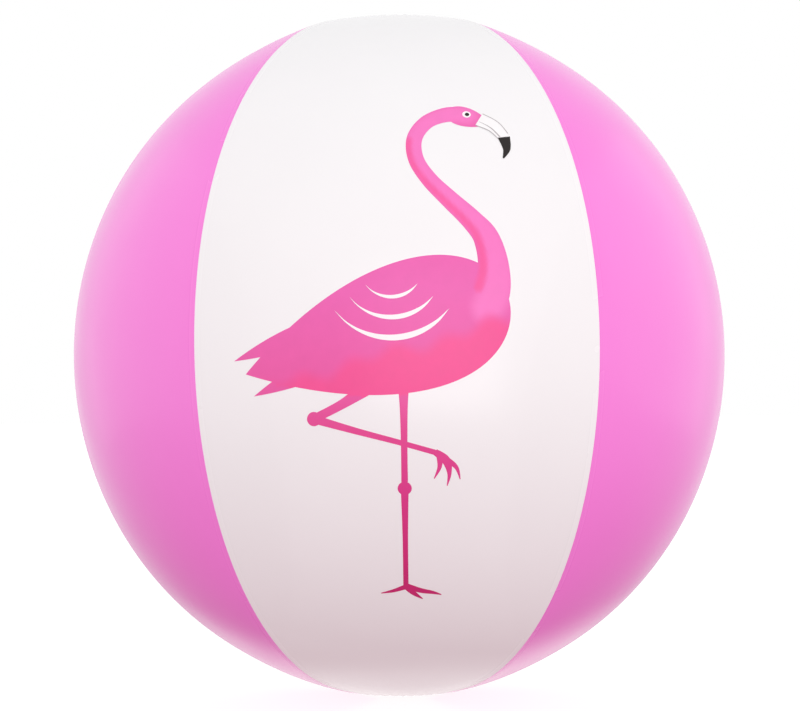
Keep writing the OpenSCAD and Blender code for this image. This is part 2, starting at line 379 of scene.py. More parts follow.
def skin_rule():
    """Node group: a place on the skin from latitude, turn and depth, in radians and metres."""
    tree, given = geometry_tree("skin of the ball", [
        ("Latitude", "Float", 0.0), ("Turn", "Float", 0.0), ("Depth", "Float", 0.0),
        ("Panel angle", "Float", 0.0)] + BALL_SIZES, ("Place", "Vector"))
    cosine = add(tree, MATH, [given["Latitude"]], operation="COSINE")
    sine = add(tree, MATH, [given["Latitude"]], operation="SINE")
    steep = add(tree, MATH, [given["Latitude"]], operation="ABSOLUTE")

    # Past a seam the neighbour's half is the mirror image of this panel's
    far = add(tree, MATH, [given["Turn"]], operation="ABSOLUTE")
    past = add(tree, MATH, [HALF_PANEL, far], operation="SUBTRACT")
    past_size = add(tree, MATH, [past], operation="ABSOLUTE")
    near = add(tree, MATH, [HALF_PANEL, past_size], operation="SUBTRACT")

    grow = add(tree, MATH, [steep, RIDGE_LAT], operation="DIVIDE")
    growth = add(tree, MATH, [grow, 2.0], operation="POWER")
    fade = add(tree, "ShaderNodeMapRange", [steep, RIDGE_LAT, RIDGE_LAT + RIDGE_FADE, 1.0, 0.0],
               interpolation_type="SMOOTHSTEP")
    shown = add(tree, MATH, [growth, fade], operation="MULTIPLY")
    flatness = add(tree, MATH, [shown, given["Ridge"]], operation="MULTIPLY")
    near_cosine = add(tree, MATH, [near], operation="COSINE")
    straight = add(tree, MATH, [FLAT_IN, near_cosine], operation="DIVIDE")
    pull = add(tree, MATH, [straight, 1.0], operation="SUBTRACT")
    change = add(tree, MATH, [flatness, pull, 1.0], operation="MULTIPLY_ADD")
    ring = add(tree, MATH, [given["Radius"], cosine], operation="MULTIPLY")
    reach = add(tree, MATH, [ring, change], operation="MULTIPLY")
    height = add(tree, MATH, [given["Half height"], sine, given["Middle height"]],
                 operation="MULTIPLY_ADD")
    skin = add(tree, "ShaderNodeCombineXYZ", {"X": reach, "Z": height})

    # Outwards at this latitude, on an ellipse
    out_r = add(tree, MATH, [cosine, given["Radius"]], operation="DIVIDE")
    out_z = add(tree, MATH, [sine, given["Half height"]], operation="DIVIDE")
    slope = add(tree, "ShaderNodeCombineXYZ", {"X": out_r, "Z": out_z})
    out = add(tree, "ShaderNodeVectorMath", [slope], operation="NORMALIZE")
    depth = add(tree, "ShaderNodeVectorMath", {0: out, "Scale": given["Depth"]},
                operation="SCALE")
    under = add(tree, "ShaderNodeVectorMath", [skin, depth], operation="SUBTRACT")

    # Angles are counted from -Y, where the front panel faces
    angle = add(tree, MATH, [given["Panel angle"], given["Turn"]], operation="ADD")
    from_x = add(tree, MATH, [angle, math.pi / 2], operation="SUBTRACT")
    place = add(tree, "ShaderNodeVectorRotate", {"Vector": under, "Angle": from_x},
                rotation_type="Z_AXIS")
    add(tree, "NodeGroupOutput", {"Place": place})
    return tree


def on_skin(tree, given, geometry, latitude, turn, depth):
    """Moves a tree's points to their places on the skin."""
    rule = add(tree, "GeometryNodeGroup", node_tree=skin)
    fill(rule, {name: given[name] for name in ["Panel angle"] + SIZE_NAMES})
    fill(rule, {"Latitude": latitude, "Turn": turn, "Depth": depth})
    return add(tree, "GeometryNodeSetPosition", {"Geometry": geometry, "Position": rule})


skin = skin_rule()
print("skin rule:", len(skin.nodes), "nodes")

# %% [markdown]
# ## Panels
# A cube primitive with many vertices across and along and two through it is already a closed sheet
# with its faces outwards. The tree only has to bend it: across becomes the turn, along the latitude,
# and through the film's depth. The three outermost columns on each side are kept for the weld. A
# white panel lies on top in both of its seams. A pink one dips by the film's thickness and runs on
# under its neighbour. Near the caps the film is too wide for the ring it lies on, so it puckers into
# small radial folds, which die out before the cap.

# %% Panel tree
PANEL_COLUMNS = 72
PANEL_ROWS = 216
PUCKERS = 9
PUCKER_FROM, PUCKER_FULL, PUCKER_TO = (math.radians(a) for a in (66, 77, 81.2))


def panel_tree():
    """Geometry Nodes tree: one welded panel, from its sizes."""
    tree, given = geometry_tree("ball panel", [
        ("Columns", "Int", PANEL_COLUMNS), ("Rows", "Int", PANEL_ROWS),
        ("Panel angle", "Float", 0.0), ("Film", "Float", FILM), ("Tuck", "Float", 0.0),
        ("Beyond seam", "Float", 0.0), ("Edge bands", "Vector", (2 * MM, 2 * MM, 2 * MM)),
        ("Point latitude", "Float", point_lat), ("Pucker", "Float", 0.45 * MM),
        ("Film material", "Material", None)] + BALL_SIZES, ("Geometry", "Geometry"))
    across = add(tree, MATH, [given["Columns"], 1.0], operation="ADD")
    along = add(tree, MATH, [given["Rows"], 1.0], operation="ADD")
    sheet = add(tree, "GeometryNodeMeshCube", {
        "Vertices X": across, "Vertices Y": along, "Vertices Z": 2})
    grid = add(tree, "ShaderNodeSeparateXYZ", [add(tree, "GeometryNodeInputPosition")]).outputs

    lat_span = add(tree, MATH, [given["Point latitude"], 2.0], operation="MULTIPLY")
    lat = add(tree, MATH, [grid["Y"], lat_span], operation="MULTIPLY")
    cosine = add(tree, MATH, [lat], operation="COSINE")
    ring = add(tree, MATH, [given["Radius"], cosine], operation="MULTIPLY")
    side = add(tree, MATH, [grid["X"]], operation="SIGN")
    twice = add(tree, MATH, [grid["X"], 2.0], operation="MULTIPLY")
    outward = add(tree, MATH, [twice], operation="ABSOLUTE")

    # The turn is the sum of four stretches: the open film, then three bands of fixed width
    column = add(tree, MATH, [2.0, given["Columns"]], operation="DIVIDE")
    edges = [add(tree, MATH, [column, -float(n), 1.0], operation="MULTIPLY_ADD")
             for n in (3, 2, 1, 0)]
    bands = add(tree, "ShaderNodeSeparateXYZ", [given["Edge bands"]]).outputs
    beyond = add(tree, MATH, [given["Beyond seam"], ring], operation="DIVIDE")
    open_turn = add(tree, MATH, [beyond, HALF_PANEL], operation="ADD")
    stretches = []
    for band_width, start, end in zip(bands, edges, edges[1:]):
        band = add(tree, MATH, [band_width, ring], operation="DIVIDE")
        open_turn = add(tree, MATH, [open_turn, band], operation="SUBTRACT")
        stretches.append(add(tree, "ShaderNodeMapRange", [outward, start, end, 0.0, band]))
    turn = add(tree, "ShaderNodeMapRange", [outward, 0.0, edges[0], 0.0, open_turn])
    for stretch in stretches:
        turn = add(tree, MATH, [turn, stretch], operation="ADD")

    # Depth: the tuck at the seam, the film's own thickness, and the puckers near the caps
    tuck = add(tree, "ShaderNodeMapRange", [outward, edges[1], edges[2], 0.0, given["Tuck"]])
    through = add(tree, MATH, [0.5, grid["Z"]], operation="SUBTRACT")
    depth = add(tree, MATH, [through, given["Film"], tuck], operation="MULTIPLY_ADD")
    steep = add(tree, MATH, [lat], operation="ABSOLUTE")
    rise = add(tree, "ShaderNodeMapRange", [steep, PUCKER_FROM, PUCKER_FULL],
               interpolation_type="SMOOTHSTEP")
    fall = add(tree, "ShaderNodeMapRange", [steep, PUCKER_FULL, PUCKER_TO, 1.0, 0.0],
               interpolation_type="SMOOTHSTEP")
    zone = add(tree, MATH, [rise, fall], operation="MULTIPLY")
    past = add(tree, MATH, [HALF_PANEL, turn], operation="SUBTRACT")
    to_seam = add(tree, MATH, [past], operation="ABSOLUTE")
    phase = add(tree, MATH, [to_seam, math.pi * PUCKERS / HALF_PANEL], operation="MULTIPLY")
    wave = add(tree, MATH, [phase], operation="COSINE")
    fold = add(tree, MATH, [wave, zone], operation="MULTIPLY")
    sunk = add(tree, MATH, [fold, given["Pucker"]], operation="MULTIPLY")
    all_depth = add(tree, MATH, [depth, sunk], operation="ADD")

    signed = add(tree, MATH, [turn, side], operation="MULTIPLY")

    # What the film's material reads: across, along and distance to the seam
    over = add(tree, MATH, [signed, ring], operation="MULTIPLY")
    up = add(tree, MATH, [lat, arc_r], operation="MULTIPLY")
    from_seam = add(tree, MATH, [to_seam, ring], operation="MULTIPLY")
    panel_place = add(tree, "ShaderNodeCombineXYZ", {"X": over, "Y": up, "Z": from_seam})
    marked = add(tree, "GeometryNodeStoreNamedAttribute", {
        "Geometry": sheet.outputs["Mesh"], "Name": "panel_place", "Value": panel_place},
        data_type="FLOAT_VECTOR", domain="POINT")
    bent = on_skin(tree, given, marked, lat, signed, all_depth)
    return finished(tree, bent, given["Film material"])


panel_nodes = panel_tree()
print("panel tree:", len(panel_nodes.nodes), "nodes")

# %% Six panels
STEP_W = 0.4 * MM
PANELS = ["front_white", "front_right_pink", "back_right_white",
          "back_pink", "back_left_white", "front_left_pink"]

for number, name in enumerate(PANELS):
    pink = name.endswith("pink")
    values = {"Panel angle": 2 * HALF_PANEL * number, "Film material": white_film}
    if pink:
        values.update({
            "Tuck": FILM + WELD_GAP, "Beyond seam": WELD_W, "Film material": pink_film,
            "Edge bands": (WELD_W - STEP_W, STEP_W, WELD_W)})
    film = grown(panel_nodes, values)
    piece(film, "film_" + name, pink_film if pink else white_film, "envelope",
          "panel_" + name, sharp=25)
    print(f"film_{name}: {len(film.polygons)} faces")

# %% [markdown]
# ## Drawing the print
# The print is a flamingo on one leg, drawn in millimetres on the flat panel: across to the right,
# and up from the widest ring. It is a plain bird put together from simple shapes, as a stencil
# would be. The body, head and tail feathers are teardrops, and the knees and eye are discs. A limb
# is a centre line with a width at each point, which suits the neck, legs, toes and bill. Wing
# feathers are arcs round one centre. Freehand outlines could do it too, but shapes with few numbers
# stay smooth at any size and are easy to change.

# %% Curves for the drawing
CURVE_STEP = 2.5


def smooth(points):
    """Points along a smooth curve through the given ones (a Catmull-Rom curve)."""
    ends = [points[0]] + list(points) + [points[-1]]
    out = []
    for before, a, b, after in zip(ends, ends[1:], ends[2:], ends[3:]):
        before, a, b, after = (Vector(p) for p in (before, a, b, after))
        pieces = max(2, round((b - a).length / CURVE_STEP))
        for k in range(pieces):
            t = k / pieces
            out.append(0.5 * (2 * a + (b - before) * t
                              + (2 * before - 5 * a + 4 * b - after) * t * t
                              + (3 * a - before - 3 * b + after) * t * t * t))
    return out + [Vector(points[-1])]


def between(a, b):
    """Points between two corners, so that a long straight edge can follow the ball."""
    parts = math.ceil((b - a).length / CURVE_STEP)
    return [a.lerp(b, k / parts) for k in range(1, parts)]


def sides(*stations):
    """Both edges of a band round a smooth centre line: (across, up, width) at each station."""
    line = smooth(stations)
    left, right = [], []
    for i, here in enumerate(line):
        ahead = line[min(i + 1, len(line) - 1)] - line[max(i - 1, 0)]
        side = Vector((-ahead.y, ahead.x)).normalized() * max(here.z, 0.02) / 2
        left.append(here.xy + side)
        right.append(here.xy - side)
    return left, right


def limb(*stations):
    """The band as a closed outline."""
    left, right = sides(*stations)
    return left + between(left[-1], right[-1]) + right[::-1] + between(right[0], left[0])


def round_angles(steps):
    """Evenly spaced angles round a full turn."""
    return [2 * math.pi * k / steps for k in range(steps)]


def teardrop(tip, nose, half_width, slim=1.0, steps=120):
    """A closed teardrop: pointed at the tip, round at the nose. A larger slim draws it thinner."""
    tip, nose = Vector(tip), Vector(nose)
    half = (tip - nose) / 2
    side = Vector((-half.y, half.x)).normalized() * half_width
    return [(tip + nose) / 2 + half * math.cos(a) + side * math.sin(a) * math.sin(a / 2) ** slim
            for a in round_angles(steps)]


def arc(x, y, radius, start, end, width):
    """A curved stroke round (x, y), pointed at both ends and widest past its middle."""
    stations = []
    for k in range(9):
        a = math.radians(start + (end - start) * k / 8)
        wide = width * math.sin(math.pi * (k / 8) ** 1.3)
        stations.append((x + radius * math.cos(a), y + radius * math.sin(a), wide))
    return limb(*stations)


def disc(x, y, radius, steps=20):
    """A round outline."""
    return [Vector((x + radius * math.cos(a), y + radius * math.sin(a)))
            for a in round_angles(steps)]


print("a smooth run through 3 points has", len(smooth([(0, 0), (20, 10), (40, 0)])), "points")

# %% Flamingo in panel millimetres
TAIL_TIP = Vector((-142, -32))
CHEST = Vector((104, 32))
BODY_HALF = 76
LEG_X = 6

# The S of the neck is an arc, a straight run up to the left, and a tighter arc to the head
NECK = [(62, 0, 18), (74, 18, 34), (86, 38, 38), (90, 62, 30), (84, 88, 25), (71, 105, 21),
        (50, 126, 18), (32, 146, 16), (20, 168, 15), (19, 192, 15), (31, 212, 16), (50, 222, 19),
        (66, 222, 22)]
bill_line = [(82, 217, 17), (96, 209, 15), (106, 196, 12), (108, 182, 7), (104, 171, 0.8)]

standing_leg = [
    limb((LEG_X, -20, 20), (LEG_X, -50, 9), (LEG_X, -90, 6), (LEG_X, -132, 6)),
    disc(LEG_X, -138, 6.5),
    limb((LEG_X, -140, 7), (LEG_X, -190, 5), (LEG_X, -246, 5)),
]
standing_toes = [
    limb((LEG_X, -244, 7), (20, -250, 6), (32, -253, 4), (40, -256, 1)),
    limb((LEG_X, -245, 6), (14, -254, 5), (22, -261, 1)),
    limb((LEG_X, -245, 6), (-6, -250, 4), (-18, -253, 1)),
]
folded_leg = [
    limb((14, -8, 14), (0, -26, 24), (-16, -38, 17), (-46, -58, 9), (-74, -72, 8)),
    disc(-76, -73, 6.5),
    limb((-76, -73, 8), (-38, -84, 6), (2, -95, 5), (36, -105, 5)),
]
folded_toes = [
    limb((34, -104, 6), (44, -112, 8), (47, -124, 4), (45, -136, 0.8)),
    limb((38, -107, 6), (38, -118, 4), (33, -129, 0.8)),
    limb((41, -109, 6), (53, -118, 4), (57, -130, 0.8)),
]
head = teardrop((92, 212), (50, 226), 15, 0.6)
tail_feathers = [teardrop((-154, -20), (-50, 14), 13), teardrop((-134, -52), (-40, -14), 13)]
pink_shapes = ([teardrop(TAIL_TIP, CHEST, BODY_HALF), limb(*NECK), head] + tail_feathers
               + standing_leg + standing_toes + folded_leg + folded_toes)

# Three wing feathers, one inside the other, and a pale patch where the bill meets the head
FEATHERS = [arc(-4, 64, radius, 218, 322, 1.6 + radius / 18) for radius in (30, 48, 66)]
white_shapes = FEATHERS + [limb(*bill_line[:3]), disc(70, 223, 4.2)]
bill_tip = limb(*[(x, y, width + 0.6) for x, y, width in bill_line[2:]])
eye = disc(70.5, 223, 2.2)
mouth = limb((82, 214, 0.3), (93, 207, 1.1), (102, 196, 1.4))
bill_edges = [limb(*[(p.x, p.y, 0.9) for p in side[::2]]) for side in sides(*bill_line[:3])]
print("flamingo:", sum(len(shape) for shape in pink_shapes), "outline points in pink")

# %% [markdown]
# ### Tones of the pink ink
# A screen printer works a second pink into the first with a fine dot screen. The eye sees a soft
# change of tone, with no edge. Each vertex of the ink sheet holds how much coral and orchid lies
# there. Coral follows a rule: it deepens below the body's long axis, with a wavy edge like feathers,
# and runs down the hollow side of the neck. Orchid lies along the middle of the neck.

# %% Tones
SHADE_WAVE = 7
axis = (CHEST - TAIL_TIP).normalized()
below_axis = Vector((axis.y, -axis.x))
shaded = teardrop(TAIL_TIP - 3 * axis, CHEST + 3 * axis, BODY_HALF + 3)


def ease(t):
    """0 to 1 with a soft start and end."""
    t = min(1, max(0, t))
    return t * t * (3 - 2 * t)


def inside(point, shape):
    """Whether a point is inside an outline."""
    odd = False
    for a, b in zip(shape, shape[1:] + shape[:1]):
        if (a.y > point.y) != (b.y > point.y):
            if point.x < a.x + (b.x - a.x) * (point.y - a.y) / (b.y - a.y):
                odd = not odd
    return odd


def stroke_share(point, stations, soft):
    """1 inside a stroke of the given widths, easing to 0 over soft millimetres outside it."""
    best = 0
    for a, b in zip(stations, stations[1:]):
        along = b.xy - a.xy
        t = min(1, max(0, (point - a.xy).dot(along) / along.length_squared))
        gap = (point - a.xy - along * t).length - (a.z + (b.z - a.z) * t) / 2
        best = max(best, 1 - gap / soft)
    return ease(best)


neck_line = [Vector(p) for p in smooth(NECK)[::2]]
neck_middle = [Vector((p.x + p.z * 0.15, p.y, p.z * 0.4)) for p in neck_line if p.y > 24]
neck_hollow = [Vector((p.x - p.z * 0.32, p.y, p.z * 0.12)) for p in neck_line if 40 < p.y < 190]


def tones(point):
    """Amounts of coral and orchid at a point of the panel, in millimetres."""
    along = (point - TAIL_TIP).dot(axis)
    down = (point - TAIL_TIP).dot(below_axis)
    wave = 4 * math.sin(along / SHADE_WAVE) + 3 * math.sin(along / (2.3 * SHADE_WAVE))
    belly = ease((down - 10 + wave) / 16) if inside(point, shaded) else 0
    coral = max(belly, 0.8 * stroke_share(point, neck_hollow, 4))
    return 0.85 * coral, (1 - belly) * stroke_share(point, neck_middle, 14)


print("tones on the belly", [round(v, 2) for v in tones(Vector((40, -20)))])

# %% [markdown]
# ### From outlines to sheets of ink
# A constrained Delaunay triangulation fills any number of overlapping outlines as one shape, and it
# takes extra points inside, which the sheet needs to follow the curve of the ball. The flat sheet
# gets a second layer and a rim, so that it is a closed body. A boolean could do this too, but it is
# slower and leaves long thin triangles.

# %% Ink sheets
INK = 0.06 * MM
TONE_PITCH = 3


def ink_sheet(shapes, lift):
    """A closed flat sheet over the union of the outlines, in metres, lift above the panel."""
    points = [p for shape in shapes for p in shape]
    ends = list(itertools.accumulate(len(shape) for shape in shapes))
    loops = [list(range(end - len(shape), end)) for shape, end in zip(shapes, ends)]
    columns, rows = (range(int(min(along)), int(max(along)), TONE_PITCH)
                     for along in zip(*[(p.x, p.y) for p in points]))
    for row, y in enumerate(rows):
        for x in columns:
            grid = Vector((x + (row % 2) * TONE_PITCH / 2, y))
            if any(inside(grid, shape) for shape in shapes):
                points.append(grid)
    flat, _, faces, *_ = delaunay_2d_cdt(points, [], loops, 0, 0.01)
    # It fills everything between the outlines, so faces that lie in none of them are dropped
    centres = [sum((flat[v] for v in face), Vector((0, 0))) / 3 for face in faces]
    faces = [tuple(face) for face, centre in zip(faces, centres)
             if any(inside(centre, shape) for shape in shapes)]
    used = sorted({v for face in faces for v in face})
    number = {v: i for i, v in enumerate(used)}
    faces = [tuple(number[v] for v in face) for face in faces]
    top = [Vector((flat[v].x * MM, flat[v].y * MM, lift + INK)) for v in used]
    bottom = [p - Vector((0, 0, INK)) for p in top]
    sides = {(a, b) for face in faces for a, b in zip(face, face[1:] + face[:1])}
    rim = [(a, b) for a, b in sides if (b, a) not in sides]
    n = len(top)
    mesh = bpy.data.meshes.new("ink")
    mesh.from_pydata(top + bottom, [], faces + [tuple(v + n for v in face[::-1]) for face in faces]
                     + [(a, a + n, b + n, b) for a, b in sorted(rim)])
    return mesh


sheets = {
    "pink_ink": (ink_sheet(pink_shapes, 0.04 * MM), pink_ink),
    "white_ink": (ink_sheet(white_shapes, 0.14 * MM), white_ink),
    "black_ink": (ink_sheet([bill_tip, eye], 0.24 * MM), black_ink),
    "grey_ink": (ink_sheet([mouth] + bill_edges, 0.24 * MM), grey_ink),
}
for name, (sheet, _) in sheets.items():
    print(f"{name}: {len(sheet.vertices)} points")

# %% Tone attributes on the pink sheet
pink_sheet = sheets["pink_ink"][0]
amounts = [tones(Vector((v.co.x, v.co.y)) / MM) for v in pink_sheet.vertices]
for i, tone in enumerate(("coral", "orchid")):
    layer = pink_sheet.attributes.new(tone, "FLOAT", "POINT")
    layer.data.foreach_set("value", [amount[i] for amount in amounts])
print("coral over", sum(amount[0] > 0.5 for amount in amounts), "points")

# %% [markdown]
# ### Wrapping the ink round the ball
# The second tree takes a flat sheet and lays it on a panel with the same rule as the film. Up on the
# panel becomes latitude along the ball's arc, and across becomes the turn on the ring at that
# height. All three white panels carry the print, as a ball that rolls would show it all round.

# %% Print tree
def print_tree():
    """Geometry Nodes tree: lays a flat sheet of ink on a panel of the ball."""
    tree, given = geometry_tree("print on a panel", [
        ("Geometry", "Geometry", None), ("Panel angle", "Float", 0.0),
        ("Arc radius", "Float", arc_r), ("Ink material", "Material", None)] + BALL_SIZES,
        ("Geometry", "Geometry"))
    flat = add(tree, "GeometryNodeInputPosition")
    ink = add(tree, "ShaderNodeSeparateXYZ", [flat]).outputs
    lat = add(tree, MATH, [ink["Y"], given["Arc radius"]], operation="DIVIDE")
    cosine = add(tree, MATH, [lat], operation="COSINE")
    ring = add(tree, MATH, [given["Radius"], cosine], operation="MULTIPLY")
    turn = add(tree, MATH, [ink["X"], ring], operation="DIVIDE")
    depth = add(tree, MATH, [ink["Z"], -1.0], operation="MULTIPLY")
    marked = add(tree, "GeometryNodeStoreNamedAttribute", {
        "Geometry": given["Geometry"], "Name": "ink_place", "Value": flat},
        data_type="FLOAT_VECTOR", domain="POINT")
    laid = on_skin(tree, given, marked, lat, turn, depth)
    return finished(tree, laid, given["Ink material"])


print_nodes = print_tree()
for number, side in ((0, "front"), (2, "back_right"), (4, "back_left")):
    for name, (sheet, ink) in sheets.items():
        laid = grown(print_nodes, {"Panel angle": 2 * HALF_PANEL * number, "Ink material": ink},
                     sheet)
        piece(laid, f"print_{side}_{name}", ink, "envelope", sharp=50)
    print("printed the", side.replace("_", " "), "panel")

# %% [markdown]
# ## Caps
# A round sheet of the same film is welded over the six points at each end. It is turned: an outline
# of radius and height, spun round the ball's axis. The outline follows the ball's ellipse, and its
# edge is rounded by the weld.

# %% Turned shapes


def rounded(corners, steps=4):
    """An outline from (x, y, fillet) corners, with each filleted corner as an arc."""
    out = []
    for i, (x, y, fillet) in enumerate(corners):
        here = Vector((x, y))
        back = (Vector(corners[i - 1][:2]) - here).normalized()
        ahead = (Vector(corners[(i + 1) % len(corners)][:2]) - here).normalized()
        if fillet == 0:
            out.append(here)
            continue
        cut = fillet / math.tan(back.angle(ahead) / 2)
        for k in range(steps + 1):
            t = k / steps
            out.append(here + back * cut * (1 - t) ** 2 + ahead * cut * t * t)
    return out


def mesh_of(form):
    """The mesh of a finished form."""
    mesh = bpy.data.meshes.new("form")
    form.to_mesh(mesh)
    form.free()
    return mesh


def turned(shape, steps=96):
    """A solid from a closed outline of (radius, height), spun round the Z axis."""
    form = bmesh.new()
    rings = []
    for radius, height in shape:
        if radius < 1e-7:
            rings.append([form.verts.new((0, 0, height))] * steps)
            continue
        rings.append([form.verts.new((radius * math.cos(a), radius * math.sin(a), height))
                      for a in round_angles(steps)])
    for ring, following in zip(rings, rings[1:] + rings[:1]):
        for k in range(steps):
            nxt = (k + 1) % steps
            corners = list(dict.fromkeys((ring[k], ring[nxt], following[nxt], following[k])))
            if len(corners) > 2:
                form.faces.new(corners)
    bmesh.ops.recalc_face_normals(form, faces=form.faces)
    return mesh_of(form)


def on_shell(radius, lift):
    """(radius, height over the middle) of a place lift above the round skin near a cap."""
    lat = math.acos(radius / ball_r)
    out = Vector((math.cos(lat) / ball_r, math.sin(lat) / half_h)).normalized()
    return radius + lift * out.x, half_h * math.sin(lat) + lift * out.y


print("skin height at the cap's edge", round(on_shell(55 * MM, 0)[1], 4))

# %% Two end caps
CAP_R = 55 * MM
CAP_HOLE = 13 * MM


def cap_outline(hole):
    """Closed outline of a cap with a weld ring pressed in just inside its edge."""
    rings = [CAP_R - (CAP_R - hole) * k / 24 for k in range(25)]
    under = [on_shell(r, WELD_GAP) for r in rings]
    over = []
    for r in rings[1:]:
        dip = math.exp(-((r - 50 * MM) / (1.6 * MM)) ** 2) * 0.16 * MM
        over.append(on_shell(r, WELD_GAP + CAP - dip))
    edge = [on_shell(CAP_R - 0.1 * MM, WELD_GAP + CAP * 0.8), on_shell(CAP_R, WELD_GAP + CAP * 0.4)]
    return under + over[::-1] + edge


for name, side, hole in (("cap_top", 1, CAP_HOLE), ("cap_bottom", -1, 0)):
    shape = [(r, mid_z + side * z) for r, z in cap_outline(hole)]
    piece(turned(shape, 144), "film_" + name, white_film, "envelope", name)
    print("film_" + name, "reaches", round(max(z for _, z in shape), 5))

# %% [markdown]
# ### Weld marks
# The electrode that welds a cap or the valve's flange has teeth, so it leaves a ring of short
# radial marks. They repeat, so a node tree sets one low dome on each point of a circle. The circle
# has named inputs for its radius, height and slope, and serves both caps and the flange.

# %% Rings of weld marks


def mark_tree():
    """Geometry Nodes tree: a ring of low domes on a slope."""
    tree, given = geometry_tree("ring of weld marks", [
        ("Marks", "Int", 90), ("Ring radius", "Float", 52 * MM), ("Ring height", "Float", 0.0),
        ("Slope", "Float", 0.0), ("Mark size", "Vector", (1.6 * MM, 0.5 * MM, 0.12 * MM)),
        ("Mark material", "Material", None)], ("Geometry", "Geometry"))
    circle = add(tree, "GeometryNodeMeshCircle", {
        "Vertices": given["Marks"], "Radius": given["Ring radius"]})
    dome = add(tree, "GeometryNodeMeshUVSphere", {"Segments": 8, "Rings": 6, "Radius": 1.0})
    at = add(tree, "ShaderNodeSeparateXYZ", [add(tree, "GeometryNodeInputPosition")]).outputs
    around = add(tree, MATH, [at["Y"], at["X"]], operation="ARCTAN2")
    turn = add(tree, "ShaderNodeCombineXYZ", {"Y": given["Slope"], "Z": around})
    marks = add(tree, "GeometryNodeInstanceOnPoints", {
        "Points": circle, "Instance": dome.outputs["Mesh"], "Rotation": turn,
        "Scale": given["Mark size"]})
    lift = add(tree, "ShaderNodeCombineXYZ", {"Z": given["Ring height"]})
    placed = add(tree, "GeometryNodeTransform", {"Geometry": marks, "Translation": lift})
    return finished(tree, placed, given["Mark material"])


def weld_marks(name, side, radius, lift, values, material):
    """One ring of marks that lies on the shell near a cap."""
    r, z = on_shell(radius, lift)
    slope = math.atan(half_h / ball_r * (radius / ball_r) / math.sqrt(1 - (radius / ball_r) ** 2))
    values = {"Ring radius": r, "Ring height": mid_z + side * z, "Slope": side * slope,
              "Mark material": material, **values}
    marks = grown(mark_nodes, values)
    piece(marks, name, material, "envelope")
    print(f"{name}: {len(marks.polygons)} faces")


mark_nodes = mark_tree()
for name, side in (("cap_top", 1), ("cap_bottom", -1)):
    weld_marks("weld_marks_" + name, side, 52.6 * MM, WELD_GAP + CAP, {"Marks": 110}, white_film)

# %% [markdown]
# ## Valve
# The valve is one soft moulding: a flange welded to the cap, a thin collar that hangs in the ball,
# the stem in the middle, and a plug on a strap. Pulled out, the collar rolls inside out and the stem
# stands up to be blown into. It is pushed back for use, as here. Round pieces are turned like the
# caps, from outlines with a fillet at each corner, since nothing moulded has a sharp edge. The
# heights come from the CAD boxes, so each piece sits where its node does.

# %% Valve heights
stem_low, stem_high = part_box("valve_stem")
plug_low, plug_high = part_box("plug")
collar_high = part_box("valve_collar")[1].z
mouth_z, stem_z = stem_high.z, stem_low.z
rim_z = mouth_z - 1.4 * MM
tab_end = stem_high.x
print(f"stem from {stem_z:.5f} to {mouth_z:.5f} m, collar's lip at {collar_high:.5f} m")

# %% Flange
RECESS_R = 11 * MM
FLANGE_GAP = CAP + 2 * WELD_GAP


def lifted(radius, lift, fillet):
    """A corner of a turned outline, at a lift over the round skin at the upper cap."""
    r, z = on_shell(radius, lift)
    return r, mid_z + z, fillet


# Corners in millimetres: radius, height over the cap, fillet
flange = rounded([lifted(r * MM, FLANGE_GAP + up * MM, fillet * MM) for r, up, fillet in (
    (22, 0, 0), (16.5, 0, 0), (11, 0, 0), (11, 1.1, 0.25), (12.2, 1.1, 0.25), (12.8, 0.8, 0.3),
    (17, 0.8, 0.2), (17.3, 0.55, 0.15), (21, 0.5, 0.4), (22, 0.2, 0.1))])
piece(turned(flange), "flange", valve_pvc, "envelope", "valve_flange")
weld_marks("weld_marks_flange", 1, 19.2 * MM, FLANGE_GAP + 0.52 * MM,
           {"Marks": 60, "Mark size": (1.3 * MM, 0.45 * MM, 0.14 * MM)}, valve_pvc)

# %% Collar
COLLAR = 0.6 * MM
ROOT_R = 5.7 * MM
CUP_R = 9.8 * MM
WALL_STEPS = 14


def collar_wall(inward):
    """Points down the collar's wall, from the flange's inner edge to the rounding at its foot."""
    top, foot = collar_high - 0.8 * MM, stem_z + 1.6 * MM
    points = [(RECESS_R - inward, collar_high)]
    for k in range(WALL_STEPS + 1):
        t = k / WALL_STEPS
        bulge = 0.25 * MM * math.sin(math.pi * t)
        points.append((RECESS_R + (CUP_R - RECESS_R) * t - bulge - inward, top + (foot - top) * t))
    return points


outer = collar_wall(0) + [(CUP_R - 0.2 * MM, stem_z + 0.7 * MM), (CUP_R - 0.9 * MM, stem_z)]
inner = collar_wall(COLLAR) + [(CUP_R - 0.9 * MM, stem_z + 0.95 * MM),
                               (CUP_R - 1.4 * MM, stem_z + COLLAR)]
cup = outer + [(ROOT_R, stem_z), (ROOT_R, stem_z + COLLAR)] + inner[::-1]
collar = piece(turned(cup, 72), "collar", valve_pvc, None, "valve_collar")
print("collar:", len(collar.data.vertices), "points")

# %% Stem with its tab


def prism(shape, low, high, edge):
    """A flat moulding: an outline raised from low to high, with rounded edges."""
    form = bmesh.new()
    bottom = [form.verts.new((p.x, p.y, low)) for p in shape]
    top = [form.verts.new((p.x, p.y, high)) for p in shape]
    form.faces.new(bottom[::-1])
    form.faces.new(top)
    for i in range(len(shape)):
        j = (i + 1) % len(shape)
        form.faces.new((bottom[i], bottom[j], top[j], top[i]))
    bmesh.ops.recalc_face_normals(form, faces=form.faces)
    rims = [e for e in form.edges if abs(e.verts[0].co.z - e.verts[1].co.z) < 1e-9]
    bmesh.ops.bevel(form, geom=rims, offset=edge, segments=3, profile=0.5, affect="EDGES")
    return mesh_of(form)


